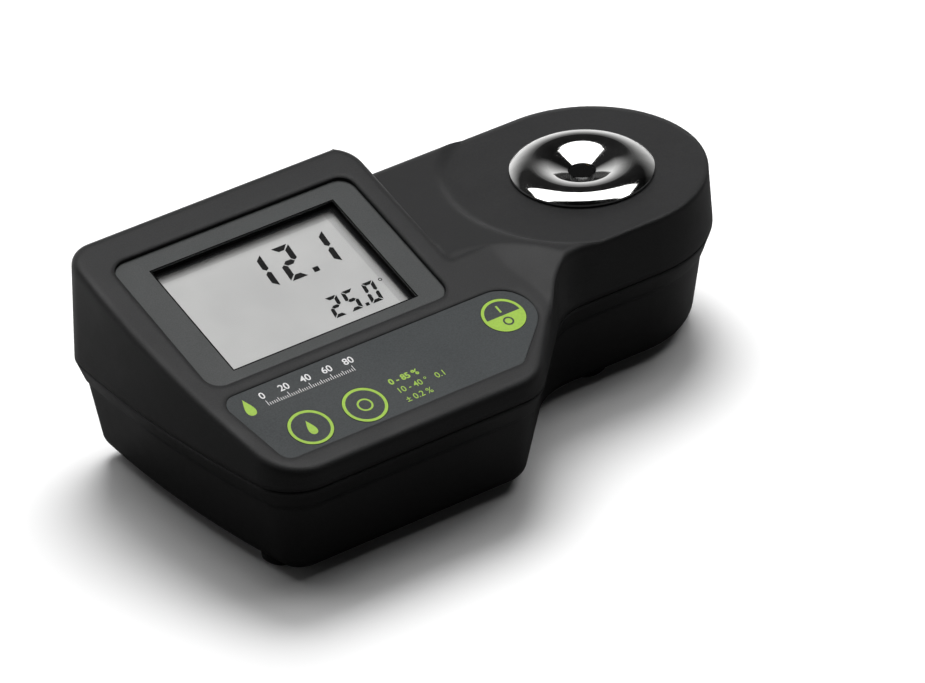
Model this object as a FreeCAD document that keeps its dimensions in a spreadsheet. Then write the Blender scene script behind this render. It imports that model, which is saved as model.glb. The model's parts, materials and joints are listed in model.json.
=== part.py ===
"""Bench refractometer: a wedge-shaped instrument with a sloping display panel,
three keys and a polished sample ring over a glass prism.

Frame: X runs along the length, Y to the back, Z up, the origin on the table
under the middle of the case.  Panel pieces use a second frame on the sloping
panel: x as before, s up the slope from its front edge, n out of the panel.
Lengths are in millimetres and angles in degrees.
"""
import FreeCAD, Part
import math
import os
import re

import Sketcher
from FreeCAD import Placement, Rotation, Vector

doc = FreeCAD.newDocument("Refractometer")

# ---------------------------------------------------------------- driving dimensions
DIMENSIONS = """
body_length 192
body_width 102
body_height 66.7
seam_height 34
seam_gap 0.4
wall_thick 2.4
side_draft 2.8
bow_radius 345
bow_middle 30
front_corner 14.5
back_corner 10
waist_corner 14
waist_fillet 18
waist_angle 47
waist_from_end 70.5
head_round 35.8
edge_round 2.2
panel_angle 15.07
panel_rise 26.4
deck_height 53.2
sink_depth 1.6
sink_radius 40.5
sink_slope 2.6
housing_from_end 95
housing_corner 10
scoop_inner 13.8
scoop_outer 28
scoop_bite 0.5
floor_height 2.5
floor_round 6
band_height 6.5
band_inset 2.3
ledge_inset 3.1
base_inset 6.8
slide_gap 0.3
fit_gap 0.15
bezel_left 86.5
bezel_right 7.65
bezel_low 38.4
bezel_high 92.2
bezel_corner 5
bezel_sunk 1
bezel_thick 3.2
bezel_flange 1.5
window_left 76.7
window_right 16.4
window_low 43
window_high 85.7
window_sunk 2.5
window_lap 2
window_thick 1
glass_lap 3
glass_thick 2.5
reflector_thick 0.3
holder_wall 1.9
board_drop 9.4
board_thick 1.6
post_radius 2
post_inset 1.5
overlay_left 87.5
overlay_low 6.8
overlay_high 34.06
overlay_corner 4
overlay_lean 4.6
nose_angle 48
overlay_thick 0.5
overlay_sunk 0.2
key_radius 6.37
key_gap 0.15
key_row 14.2
read_from_housing 70.5
zero_from_housing 52.8
onoff_beyond_housing 0.3
onoff_row 24.6
overlay_round 9.6
key_thick 0.5
key_travel 0.25
stem_radius 4.5
stem_reach 2.9
stem_gap 0.4
dome_radius 4
dome_height 0.4
spacer_thick 1.3
keyboard_thick 1.2
ring_from_end 37.4
ring_radius 20.86
ring_lip 0.6
ring_crest 14.5
ring_rise 2.2
ring_hole 4.07
bowl_drop 1.1
flank_swell 0.62
cone_top 10
cone_fall 0.88
crest_round 0.22
web_thick 1.2
gasket_thick 0.5
gasket_inset 0.6
spigot_radius 16.6
spigot_bore 12
spigot_length 7.9
nut_radius 19.4
nut_thick 4
prism_half 8
prism_depth 6.5
prism_high 5.5
table_gap 0.17
seal_thick 0.4
block_half 18
block_depth 15
block_high 15
block_bevel 7
light_bore 4.2
light_angle 45
led_radius 2.5
led_length 8.6
lens_radius 4
lens_thick 3
sensor_long 20
sensor_wide 6
sensor_thick 3
battery_long 48.5
battery_wide 26.5
battery_thick 17.5
battery_from_housing 46
battery_shift 3.25
terminal_reach 3
snap_thick 2.6
pad_thick 1
well_radius 31.5
cover_radius 34
cover_thick 1.8
cover_spigot 4
cover_rise 0.15
lug_reach 1.8
lug_thick 1.4
lug_angle 24
lug_rise 2.4
cover_turn 40
boss_radius 3.6
boss_top 49
screw_radius 1.5
screw_head 2.75
head_thick 2
bore_depth 5.5
foot_radius 6
foot_seat 0.8
"""
sheet = doc.addObject("Spreadsheet::Sheet", "Sizes")
for row, line in enumerate(DIMENSIONS.strip().splitlines(), 1):
    alias, number = line.split()
    sheet.set(f"A{row}", alias)
    sheet.set(f"B{row}", number)
    sheet.setAlias(f"B{row}", alias)
doc.recompute()

WORDS = re.compile(r"\b[a-z]+(?:_[a-z]+)+\b")
LEFT = "(-body_length / 2)"
RIGHT = "(body_length / 2)"
FRONT = "(-body_width / 2)"
BACK = "(body_width / 2)"
HOUSING = f"({RIGHT} - housing_from_end)"
RING_X = f"({RIGHT} - ring_from_end)"
HEAD_X = f"({RIGHT} - head_round)"
HEAD_Y = f"({BACK} - head_round)"
PANEL_Z = "(body_height - panel_rise)"
PLATFORM = "(deck_height - sink_depth)"
RING_SEAT = f"({PLATFORM} + gasket_thick)"
RING_RIM = f"({RING_SEAT} + ring_lip)"
HOLE_LOW = f"({RING_RIM} - bowl_drop)"
WEB_LOW = f"({HOLE_LOW} - web_thick)"
UPPER_RIM = "(seam_height + seam_gap / 2)"
LOWER_RIM = "(seam_height - seam_gap / 2)"
KEY_FLOOR = "(-overlay_sunk - overlay_thick - key_travel - 0.1)"
FLOOR_TOP = "(floor_height + wall_thick)"
BATTERY_X = f"({HOUSING} - battery_from_housing)"


def formula(text):
    """A bare expression with every alias pointed at the sheet."""
    return WORDS.sub(lambda word: "Sizes." + word.group(0), str(text))


def value(text):
    return float(sheet.evalExpression(formula(text)))


# ---------------------------------------------------------------- document helpers
nodes = []


def node(thing, name):
    """Register one finished piece of the instrument under its own name."""
    thing.Label = name
    nodes.append(thing)
    return thing


def bind(thing, **places):
    for name, text in places.items():
        thing.setExpression(name.replace("__", "."), formula(text))


def stand(thing, x="0", y="0", z="0"):
    bind(thing, Placement__Base__x=x, Placement__Base__y=y, Placement__Base__z=z)


def on_slope(thing):
    """Seat a piece's own frame on the sloping panel."""
    thing.Placement = Placement(Vector(), Rotation(Vector(1, 0, 0), value("panel_angle")))
    bind(thing, Placement__Rotation__Angle="panel_angle")
    stand(thing, "0", FRONT, PANEL_Z)


def new_body(name, x="0", y="0", z="0", slope=False):
    body = doc.addObject("PartDesign::Body", name)
    if slope:
        on_slope(body)
    else:
        stand(body, x, y, z)
    return node(body, name)


def sketch_on(body, role, level="0"):
    sketch = body.newObject("Sketcher::SketchObject", "Sketch")
    plane = next(item for item in body.Origin.OriginFeatures if item.Role == role)
    sketch.AttachmentSupport = [(plane, "")]
    sketch.MapMode = "FlatFace"
    bind(sketch, AttachmentOffset__Base__z=level)
    return sketch


def place_point(sketch, geometry, end, x, y):
    for kind, text in (("DistanceX", x), ("DistanceY", y)):
        index = sketch.addConstraint(
            Sketcher.Constraint(kind, -1, 1, geometry, end, value(text)))
        bind(sketch, **{f"Constraints[{index}]": text})


def polygon(sketch, points):
    """Closed run of straight lines through points given as expressions."""
    spots = [Vector(value(x), value(y), 0) for x, y in points]
    first = sketch.GeometryCount
    for here, there in zip(spots, spots[1:] + spots[:1]):
        sketch.addGeometry(Part.LineSegment(here, there))
    for index, (x, y) in enumerate(points):
        following = first + (index + 1) % len(points)
        sketch.addConstraint(Sketcher.Constraint("Coincident", first + index, 2, following, 1))
        place_point(sketch, first + index, 1, x, y)


def circle(sketch, x, y, radius):
    index = sketch.addGeometry(
        Part.Circle(Vector(value(x), value(y), 0), Vector(0, 0, 1), value(radius)))
    place_point(sketch, index, 3, x, y)
    size = sketch.addConstraint(Sketcher.Constraint("Radius", index, value(radius)))
    bind(sketch, **{f"Constraints[{size}]": radius})


def pad(body, sketch, length):
    step = body.newObject("PartDesign::Pad", "Pad")
    step.Profile = sketch
    bind(step, Length=length)
    doc.recompute()
    return step


def pocket(body, sketch, depth):
    """Cut down from the sketch and make sure that something was cut."""
    before = body.Shape.Volume
    step = body.newObject("PartDesign::Pocket", "Pocket")
    step.Profile = sketch
    bind(step, Length=depth)
    doc.recompute()
    if body.Shape.Volume > before - 1e-6:
        raise RuntimeError(f"{body.Label}: a pocket cut nothing")
    return step


def rectangle(sketch, x_low, x_high, y_low, y_high):
    polygon(sketch, [(x_low, y_low), (x_high, y_low), (x_high, y_high), (x_low, y_high)])


def round_corners(body, step, radius):
    """Round the edges of a plate that run along its own Z."""
    rim = [f"Edge{number}" for number, edge in enumerate(step.Shape.Edges, 1)
           if edge.Curve.TypeId == "Part::GeomLine" and abs(edge.tangentAt(0).z) > 0.99]
    fillet = body.newObject("PartDesign::Fillet", "Corners")
    fillet.Base = (step, rim)
    bind(fillet, Radius=radius)
    doc.recompute()
    return fillet


def turned(name, points, x="0", y="0", z="0", slope=False):
    """Body turned about its own Z from a closed profile of (radius, height)."""
    body = new_body(name, x, y, z, slope)
    sketch = sketch_on(body, "XZ_Plane")
    polygon(sketch, points)
    step = body.newObject("PartDesign::Revolution", "Turning")
    step.Profile = sketch
    step.ReferenceAxis = (sketch, ["V_Axis"])
    step.Angle = 360
    doc.recompute()
    return body


def cylinder(name, radius, length, x, y, z):
    rod = doc.addObject("Part::Cylinder", name)
    bind(rod, Radius=radius, Height=length)
    stand(rod, x, y, z)
    return rod


def block(name, x_low, x_high, y_low, y_high, z_low, z_high):
    box = doc.addObject("Part::Box", name)
    bind(box, Length=f"{x_high} - ({x_low})", Width=f"{y_high} - ({y_low})",
         Height=f"{z_high} - ({z_low})")
    stand(box, x_low, y_low, z_low)
    return box


def slope_block(name, x_low, x_high, s_low, s_high, n_low, n_high):
    """Box in the panel's frame."""
    box = block(name, x_low, x_high, s_low, s_high, n_low, n_high)
    box.Placement = Placement(Vector(), Rotation(Vector(1, 0, 0), value("panel_angle")))
    bind(box, Placement__Rotation__Angle="panel_angle")
    across, out = f"({s_low})", f"({n_low})"
    stand(box, x_low,
          f"{FRONT} + {across} * cos(panel_angle) - {out} * sin(panel_angle)",
          f"{PANEL_Z} + {across} * sin(panel_angle) + {out} * cos(panel_angle)")
    return box


def slope_rod(name, radius, length, x, along, out):
    """Cylinder that stands out of the panel, from the level out."""
    rod = cylinder(name, radius, length, x, "0", "0")
    rod.Placement = Placement(Vector(), Rotation(Vector(1, 0, 0), value("panel_angle")))
    bind(rod, Placement__Rotation__Angle="panel_angle")
    stand(rod, x, f"{FRONT} + ({along}) * cos(panel_angle) - ({out}) * sin(panel_angle)",
          f"{PANEL_Z} + ({along}) * sin(panel_angle) + ({out}) * cos(panel_angle)")
    return rod


def gathered(name, pieces):
    """Separate like solids that share one node."""
    group = doc.addObject("Part::Compound", name)
    group.Links = pieces
    return node(group, name)


# ---------------------------------------------------------------- places shared by pieces
SCREWS = [
    (f"{HOUSING} - 61.6", f"{FRONT} + 14", "body_height"),
    (f"{HOUSING} - 9", f"{FRONT} + 17", "body_height"),
    (f"{LEFT} + 13", f"{BACK} - 23", "boss_top"),
    (f"{HOUSING} + 9", f"{BACK} - 19", "body_height"),
    (f"{RING_X} - 30.6", f"{FRONT} + 43", "body_height"),
    (f"{RING_X} + 12", f"{HEAD_Y} + 20", "body_height"),
]
FEET = [
    ("foot_front_left", f"{LEFT} + 20", f"{FRONT} + 22"),
    ("foot_back_left", f"{LEFT} + 21", f"{BACK} - 20"),
    ("foot_front_right", f"{RIGHT} - 52", f"{FRONT} + 47"),
    ("foot_back_right", f"{RIGHT} - 44", f"{BACK} - 20"),
]
KEYS = {
    "key_read": (f"{HOUSING} - read_from_housing", "key_row"),
    "key_zero": (f"{HOUSING} - zero_from_housing", "key_row"),
    "key_on_off": (f"{HOUSING} + onoff_beyond_housing", "onoff_row"),
}

# ---------------------------------------------------------------- the two case shells
bow_centre = (value(f"{LEFT} + bow_radius"), value("bow_middle"))


def bow_corner(level, radius, inward):
    """Centre and bow-side angle of the corner between the bowed end and a straight side."""
    middle = level + inward * radius
    reach = math.sqrt((value("bow_radius") - radius) ** 2 - (middle - bow_centre[1]) ** 2)
    centre = (bow_centre[0] - reach, middle)
    angle = math.degrees(math.atan2(middle - bow_centre[1], -reach)) % 360
    return centre, angle


def arc(centre, radius, start, end, level):
    angles = [math.radians(angle) for angle in (start, (start + end) / 2, end)]
    return [Vector(centre[0] + radius * math.cos(angle),
                   centre[1] + radius * math.sin(angle), level) for angle in angles]


def outline(inset, level):
    """Plan of the case, drawn inwards by inset: a bowed left end, a straight front
    that turns in at the waist to a narrower head with a half-round end."""
    front_left, bow_front = bow_corner(value(FRONT), value("front_corner"), 1)
    back_left, bow_back = bow_corner(value(BACK), value("back_corner"), -1)
    turn = value("waist_angle")
    half = math.tan(math.radians(turn / 2))
    head = (value(HEAD_X), value(HEAD_Y))
    head_front = head[1] - value("head_round")
    inner = value(f"{RIGHT} - waist_from_end")
    outer = inner - (head_front - value(FRONT)) / math.tan(math.radians(turn))
    corner, fillet = value("waist_corner"), value("waist_fillet")
    corner_centre = (outer - corner * half, value(FRONT) + corner)
    fillet_centre = (inner + fillet * half, head_front - fillet)
    arcs = [
        arc(corner_centre, corner - inset, 270, 270 + turn, level),
        arc(fillet_centre, fillet + inset, 90 + turn, 90, level),
        arc(head, value("head_round") - inset, -90, 90, level),
        arc(back_left, value("back_corner") - inset, 90, bow_back, level),
        arc(bow_centre, value("bow_radius") - inset, bow_back, bow_front, level),
        arc(front_left, value("front_corner") - inset, bow_front, 270, level),
    ]
    edges = []
    for here, there in zip(arcs, arcs[1:] + arcs[:1]):
        edges.append(Part.Arc(*here).toShape())
        if here[2].distanceToPoint(there[0]) > 1e-6:
            edges.append(Part.LineSegment(here[2], there[0]).toShape())
    return Part.Wire(edges)


def tapered(sections):
    """Solid through plan outlines given as (inset, height)."""
    return Part.makeLoft([outline(inset, level) for inset, level in sections], True, True)


def slope_point(x, along, out):
    angle = math.radians(value("panel_angle"))
    return Vector(x, value(FRONT) + along * math.cos(angle) - out * math.sin(angle),
                  value(PANEL_Z) + along * math.sin(angle) + out * math.cos(angle))


def slope_solid(shape):
    """Move a solid drawn in the panel's frame onto the panel."""
    onto = Placement(slope_point(0, 0, 0), Rotation(Vector(1, 0, 0), value("panel_angle")))
    shape.Placement = onto.multiply(shape.Placement)
    return shape


def slope_rounded(x_low, x_high, s_low, s_high, corner, low, high):
    plate = Part.makeBox(x_high - x_low, s_high - s_low, high - low, Vector(x_low, s_low, low))
    rims = [edge for edge in plate.Edges if abs(edge.tangentAt(0).z) > 0.99]
    return slope_solid(plate.makeFillet(corner, rims))


def outer_edges(shape):
    """Edges between a top face and a wall of the outside plan."""
    found = []
    for edge in shape.Edges:
        middle = edge.valueAt((edge.FirstParameter + edge.LastParameter) / 2)
        faces = shape.ancestorsOfType(edge, Part.Face)
        tilts = [abs(face.normalAt(*face.Surface.parameter(middle)).z) for face in faces]
        crossing = len(tilts) == 2 and min(tilts) < 0.6 < max(tilts)
        if crossing and middle.z > value(UPPER_RIM) + 1:
            found.append((edge, middle))
    return found


def case_mass(inset, drop, rounded):
    """Solid form of the upper case; inset and drop draw its walls and tops inwards."""
    rim = value(UPPER_RIM)
    lean = math.tan(math.radians(value("side_draft")))
    deck = value("deck_height") - drop
    full = value("body_height") + 6
    angle = value("panel_angle")
    deck_line = value(FRONT) + (value("deck_height") - value(PANEL_Z)) / math.tan(math.radians(angle))
    wall_x = value(HOUSING) - inset
    waist_x = value(RING_X) - 31.6

    under = Part.makeBox(3 * full + 200, 400, 200, Vector(-200, -100, -200))
    under.rotate(Vector(), Vector(1, 0, 0), angle)
    under.translate(slope_point(0, 0, -drop))
    far = value("body_width")
    reach = value("body_length")
    turn = value("housing_corner") - inset
    back = value(BACK) - inset
    bend = arc((wall_x - turn, back - turn), turn, 0, 90, 0)
    plan = [Vector(wall_x - turn, far, 0), Vector(-reach, far, 0), Vector(-reach, -far, 0),
            Vector(waist_x, -far, 0), Vector(waist_x, deck_line, 0), Vector(wall_x, deck_line, 0)]
    sides = Part.makePolygon([bend[2]] + plan + [bend[0]]).Edges
    keep = Part.Face(Part.Wire(sides + [Part.Arc(*bend).toShape()]))
    wedge = tapered([(inset, rim), (inset + lean * (full - rim), full)])
    wedge = wedge.common(under).common(keep.extrude(Vector(0, 0, 2 * full)))
    head = tapered([(inset, rim), (inset + lean * (deck - rim), deck)])
    ramp_front = value(FRONT) + 17.5
    head = head.common(Part.makeBox(reach, far + 50, deck, Vector(wall_x - 1.5, ramp_front, 0)))
    if rounded:
        inside = value("edge_round")
        sides = [edge for edge, spot in outer_edges(wedge)
                 if spot.x < waist_x - 0.1 and abs(spot.y - deck_line) > 0.1]
        wedge = wedge.makeFillet(inside, sides)
        rims = [edge for edge, spot in outer_edges(head)
                if spot.x > wall_x - 1.4 and spot.y > ramp_front + 6]
        head = head.makeFillet(inside, rims)

    # scoop that runs from the end of the keypad up to the deck
    key_x, key_s = (value(text) for text in KEYS["key_on_off"])
    tilt = math.radians(angle)
    outward = Vector(0, -math.sin(tilt), math.cos(tilt))
    low = Part.Circle(slope_point(key_x, key_s, -value("scoop_bite") - drop), outward,
                      value("scoop_inner")).toShape()
    rise = (deck - value(PANEL_Z) - key_s * math.sin(tilt)) / math.cos(tilt)
    centre = slope_point(key_x, key_s, rise)

    def rim_ellipse(lift, radius):
        middle = centre + Vector(0, 0, lift)
        long_end = middle + Vector(0, radius / math.cos(tilt), 0)
        short_end = middle + Vector(radius, 0, 0)
        return Part.Wire([Part.Ellipse(long_end, short_end, middle).toShape()])

    wide = value("scoop_outer")
    ramp = Part.makeLoft([Part.Wire([low]), rim_ellipse(0, wide)], True, True)
    above = Part.makeLoft([rim_ellipse(0, wide), rim_ellipse(8, wide + 3)], True, True)
    head = head.cut(ramp).cut(above)
    mass = wedge.fuse(head).removeSplitter()

    # shallow round seat that surrounds the sample ring
    seat = Part.makeCone(value("sink_radius") - value("sink_slope") / 2,
                         value("sink_radius") + value("sink_slope") / 2 + 1.6,
                         value("sink_depth") + 1, Vector(value(RING_X), value(HEAD_Y),
                                                         deck - value("sink_depth")))
    return mass.cut(seat)


def screw_bosses(low, high=None):
    """Round pillars on the case screws' axes."""
    pillars = []
    for x, y, top in SCREWS:
        end = value(top) if high is None else high
        pillars.append(Part.makeCylinder(value("boss_radius"), end - low,
                                         Vector(value(x), value(y), low)))
    return pillars


def make_upper_case():
    thick = value("wall_thick")
    rim = value(UPPER_RIM)
    outside = case_mass(0, 0, True)
    inside = case_mass(thick, thick, False)
    skirt = tapered([(thick, rim - 1), (thick, rim + 0.05)])
    bosses = screw_bosses(rim)
    left_boss = SCREWS[2]
    rib = Part.makeBox(12, 2.4, value("boss_top") - rim,
                       Vector(value(left_boss[0]) - 12, value(left_boss[1]) - 1.2, rim))
    shell = outside.cut(inside.cut(bosses + [rib])).cut(skirt.cut(bosses + [rib]))

    house = value(HOUSING)
    gap = value("fit_gap")
    bezel = slope_rounded(house - value("bezel_left") - gap, house - value("bezel_right") + gap,
                          value("bezel_low") - gap, value("bezel_high") + gap,
                          value("bezel_corner"), -8, 8)
    shell = shell.cut(bezel)
    overlay = overlay_plan(gap)
    recess = overlay.extrude(Vector(0, 0, 6))
    recess.translate(Vector(0, 0, -value("overlay_thick") - value("overlay_sunk")))
    shell = shell.cut(slope_solid(recess))
    for x, along in KEYS.values():
        hole = Part.makeCylinder(value("stem_radius + stem_gap"), 12,
                                 Vector(value(x), value(along), -6))
        dip = Part.makeCylinder(value("key_radius + key_gap"), 6,
                                Vector(value(x), value(along), value(KEY_FLOOR)))
        shell = shell.cut(slope_solid(hole)).cut(slope_solid(dip))
    bore = Part.makeCylinder(value("spigot_radius + fit_gap"), 20,
                             Vector(value(RING_X), value(HEAD_Y), value(PLATFORM) - 10))
    shell = shell.cut(bore)
    for x, y, top in SCREWS:
        pilot = Part.makeCylinder(value("screw_radius - 0.3"), 9,
                                  Vector(value(x), value(y), rim - 0.1))
        shell = shell.cut(pilot)
    return shell


def overlay_plan(grow):
    """Face of the keypad overlay in the panel's frame, grown outwards by grow."""
    house = value(HOUSING)
    left = house - value("overlay_left") - grow
    low = value("overlay_low") - grow
    high = value("overlay_high") + grow
    key_x, key_s = (value(text) for text in KEYS["key_on_off"])
    radius = value("overlay_round") + grow
    corner = value("overlay_corner")
    start = math.radians(-value("nose_angle"))
    tangent = Vector(key_x + radius * math.cos(start), key_s + radius * math.sin(start), 0)
    foot = tangent.x - (tangent.y - low) / math.tan(math.radians(90 - value("nose_angle")))
    points = [Vector(left + value("overlay_lean"), low, 0), Vector(foot, low, 0), tangent,
              Vector(key_x + radius, key_s, 0), Vector(key_x, high, 0), Vector(left, high, 0)]
    end = Part.Arc(points[2], points[3], points[4]).toShape()
    edges = [Part.LineSegment(points[0], points[1]).toShape(),
             Part.LineSegment(points[1], points[2]).toShape(), end,
             Part.LineSegment(points[4], points[5]).toShape(),
             Part.LineSegment(points[5], points[0]).toShape()]
    plate = Part.Face(Part.Wire(edges)).extrude(Vector(0, 0, 1))
    spots = (points[0], points[1], points[5])
    rims = [edge for edge in plate.Edges
            if abs(edge.tangentAt(edge.FirstParameter).z) > 0.99
            and any(abs(edge.Vertexes[0].X - spot.x) + abs(edge.Vertexes[0].Y - spot.y) < 1e-6
                    for spot in spots)]
    plate = plate.makeFillet(corner, rims)
    face = min(plate.Faces, key=lambda item: item.CenterOfMass.z)
    return Part.Face(face.OuterWire)


def make_lower_case():
    thick = value("wall_thick")
    rim = value(LOWER_RIM)
    floor = value("floor_height")
    band = rim - value("band_height")
    sections = [(0, rim), (value("band_inset"), band), (value("ledge_inset"), band - 0.8),
                (value("base_inset"), floor)]
    outside = tapered(sections)
    bottom = min(outside.Faces, key=lambda face: face.CenterOfMass.z)
    outside = outside.makeFillet(value("floor_round"), bottom.Edges)
    inside = tapered([(inset + thick, level) for inset, level in sections[:-1]]
                     + [(value("base_inset") + thick, floor + thick)])
    centre = Vector(value(BATTERY_X), 0, 0)

    def disc(radius, low, high):
        return Part.makeCylinder(value(radius), high - low, centre + Vector(0, 0, low))

    shelf = floor + value("cover_thick + cover_rise * 2")
    groove_low = shelf + value("lug_rise") - 0.3
    groove_high = groove_low + value("lug_thick") + 0.6
    roof = value(FLOOR_TOP) + value("cover_spigot + battery_thick + pad_thick") + 1.7
    collar = disc("cover_radius + slide_gap + wall_thick", floor, groove_high + thick)
    tower = disc("well_radius + wall_thick", floor, roof + thick)
    bosses = screw_bosses(floor + 0.5, rim)
    shell = outside.cut(inside.cut([collar, tower] + bosses))
    shell = shell.cut(disc("well_radius", floor - 1, roof))
    shell = shell.cut(disc("cover_radius + slide_gap", floor - 1, shelf))
    shell = shell.cut(disc("well_radius + lug_reach + slide_gap", groove_low, groove_high))
    for turn in range(3):
        slot = Part.makeCylinder(value("well_radius + lug_reach + slide_gap"),
                                 groove_low - floor + 1, centre + Vector(0, 0, floor - 1),
                                 Vector(0, 0, 1), value("lug_angle") + 4)
        slot.rotate(centre, Vector(0, 0, 1),
                    120 * turn - value("lug_angle") / 2 - 2 + value("cover_turn"))
        shell = shell.cut(slot)
    lead_slot = Part.makeBox(6.4, 18, 12, Vector(centre.x + 22.1, -11, roof - 1))
    shell = shell.cut(lead_slot)
    for x, y, top in SCREWS:
        place = Vector(value(x), value(y), floor - 1)
        shell = shell.cut(Part.makeCylinder(value("screw_head + 0.25"),
                                            value("bore_depth") + 1, place))
        shell = shell.cut(Part.makeCylinder(value("screw_radius + 0.2"), 60, place))
    for name, x, y in FEET:
        seat = Part.makeCylinder(value("foot_radius + 0.1"), value("foot_seat") + 1,
                                 Vector(value(x), value(y), floor - 1))
        shell = shell.cut(seat)
    return shell


def make_case_seal():
    low, high = value(LOWER_RIM), value(UPPER_RIM)
    ring = tapered([(0.6, low), (0.6, high)])
    return ring.cut(tapered([(1.8, low - 1), (1.8, high + 1)]))


def shaped(name, shape):
    feature = doc.addObject("Part::Feature", name)
    feature.Shape = shape
    return node(feature, name)


shaped("upper_case", make_upper_case())
shaped("lower_case", make_lower_case())
shaped("case_seal", make_case_seal())

# ---------------------------------------------------------------- display
bezel_x_low = f"{HOUSING} - bezel_left"
bezel_x_high = f"{HOUSING} - bezel_right"
window_x_low = f"{HOUSING} - window_left"
window_x_high = f"{HOUSING} - window_right"

bezel_back = "(-bezel_sunk - bezel_thick)"
bezel = new_body("display_bezel", slope=True)
sketch = sketch_on(bezel, "XY_Plane", bezel_back)
rectangle(sketch, bezel_x_low, bezel_x_high, "bezel_low", "bezel_high")
front = pad(bezel, sketch, "bezel_thick")
round_corners(bezel, front, "bezel_corner")
sketch = sketch_on(bezel, "XY_Plane", bezel_back)
rectangle(sketch, f"{bezel_x_low} - bezel_flange", f"{bezel_x_high} + bezel_flange",
          "bezel_low - bezel_flange", "bezel_high + bezel_flange")
pad(bezel, sketch, f"-wall_thick - 0.05 - {bezel_back}")
post_low = "(-board_drop)"
post_spots = [(x, along) for x in (f"{bezel_x_low} + post_inset", f"{bezel_x_high} - post_inset")
              for along in ("bezel_low + post_inset", "bezel_high - post_inset")]
sketch = sketch_on(bezel, "XY_Plane", post_low)
for x, along in post_spots:
    circle(sketch, x, along, "post_radius")
pad(bezel, sketch, f"{bezel_back} - {post_low}")
sketch = sketch_on(bezel, "XY_Plane", "0")
rectangle(sketch, window_x_low, window_x_high, "window_low", "window_high")
pocket(bezel, sketch, "6")
sketch = sketch_on(bezel, "XY_Plane", "-window_sunk")
rectangle(sketch, f"{window_x_low} - window_lap", f"{window_x_high} + window_lap",
          "window_low - window_lap", "window_high + window_lap")
pocket(bezel, sketch, "6")
sketch = sketch_on(bezel, "XY_Plane", "post_radius - 6.4")
for x, along in post_spots:
    circle(sketch, x, along, "0.9")
pocket(bezel, sketch, "9")

inner_lap = "(window_lap - fit_gap)"
node(slope_block("display_window", f"{window_x_low} - {inner_lap}",
                 f"{window_x_high} + {inner_lap}", f"window_low - {inner_lap}",
                 f"window_high + {inner_lap}", "(-window_sunk - window_thick)",
                 "(-window_sunk)"), "display_window")

glass_top = "(-window_sunk - window_thick - 0.75)"
glass_low = f"({glass_top} - glass_thick)"
node(slope_block("lcd_glass", f"{window_x_low} - glass_lap", f"{window_x_high} + glass_lap",
                 "window_low - glass_lap", "window_high + glass_lap", glass_low, glass_top),
     "lcd_glass")
node(slope_block("lcd_reflector", window_x_low, window_x_high, "window_low", "window_high",
                 f"({glass_low} - reflector_thick)", glass_low), "lcd_reflector")

strips = [slope_block("strip", window_x_low, window_x_high, low, high, "(-board_drop)", glass_low)
          for low, high in (("(window_low - 2.4)", "(window_low - 0.6)"),
                            ("(window_high + 0.6)", "(window_high + 2.4)"))]
gathered("zebra_strips", strips)

holder_gap = "(glass_lap + fit_gap)"
holder = new_body("lcd_holder", slope=True)
sketch = sketch_on(holder, "XY_Plane", "-board_drop")
grown = "(glass_lap + fit_gap + holder_wall)"
rectangle(sketch, f"{window_x_low} - {grown}", f"{window_x_high} + {grown}",
          f"window_low - {grown}", f"window_high + {grown}")
pad(holder, sketch, f"{bezel_back} - 0.05 + board_drop")
sketch = sketch_on(holder, "XY_Plane", "0")
rectangle(sketch, f"{window_x_low} - {holder_gap}", f"{window_x_high} + {holder_gap}",
          f"window_low - {holder_gap}", f"window_high + {holder_gap}")
pocket(holder, sketch, "30")

# ---------------------------------------------------------------- main board
board_low = "(-board_drop - board_thick)"
board = new_body("main_board", slope=True)
sketch = sketch_on(board, "XY_Plane", board_low)
rectangle(sketch, f"{bezel_x_low} - 0.5", f"{bezel_x_high} + 0.5", "bezel_low - 5.2",
          "bezel_high + 0.5")
pad(board, sketch, "board_thick")
sketch = sketch_on(board, "XY_Plane", "-board_drop")
for x, along in post_spots:
    circle(sketch, x, along, "1.1")
pocket(board, sketch, "5")

screws = []
for x, along in post_spots:
    shank = slope_rod("shank", "0.85", "board_thick + 4", x, along, board_low)
    cap = slope_rod("cap", "1.9", "1.3", x, along, f"{board_low} - 1.3")
    fused = doc.addObject("Part::MultiFuse", "board_screw")
    fused.Shapes = [shank, cap]
    screws.append(fused)
gathered("board_screws", screws)

CHIPS = [("30", "14", "56", "70", "1.6"), ("52", "8", "60", "68", "1.4"),
         ("18", "6", "70", "78", "1.2"), ("62", "12", "44", "48", "4.2"),
         ("16", "10", "52", "55.5", "2.4")]
chips = [slope_block("chip", f"{HOUSING} - {back}", f"{HOUSING} - {back} + {wide}",
                     low, high, f"({board_low} - {thick})", board_low)
         for back, wide, low, high, thick in CHIPS]
gathered("board_chips", chips)

# ---------------------------------------------------------------- keypad
overlay = doc.addObject("Part::Feature", "keypad_overlay")
face = overlay_plan(0)
sheet_top = value("overlay_thick")
film = face.extrude(Vector(0, 0, sheet_top))
for x, along in KEYS.values():
    film = film.cut(Part.makeCylinder(value("key_radius + key_gap"), 6,
                                      Vector(value(x), value(along), -2)))
film.translate(Vector(0, 0, -sheet_top - value("overlay_sunk")))
overlay.Shape = slope_solid(film)
node(overlay, "keypad_overlay")

key_low = "(-overlay_sunk - key_thick)"
for name, (x, along) in KEYS.items():
    key = new_body(name, slope=True)
    sketch = sketch_on(key, "XY_Plane", f"{key_low} + 0.05")
    circle(sketch, x, along, "key_radius")
    pad(key, sketch, "key_thick")
    sketch = sketch_on(key, "XY_Plane", "-stem_reach")
    circle(sketch, x, along, "stem_radius")
    pad(key, sketch, f"{key_low} + 0.1 + stem_reach")

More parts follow.
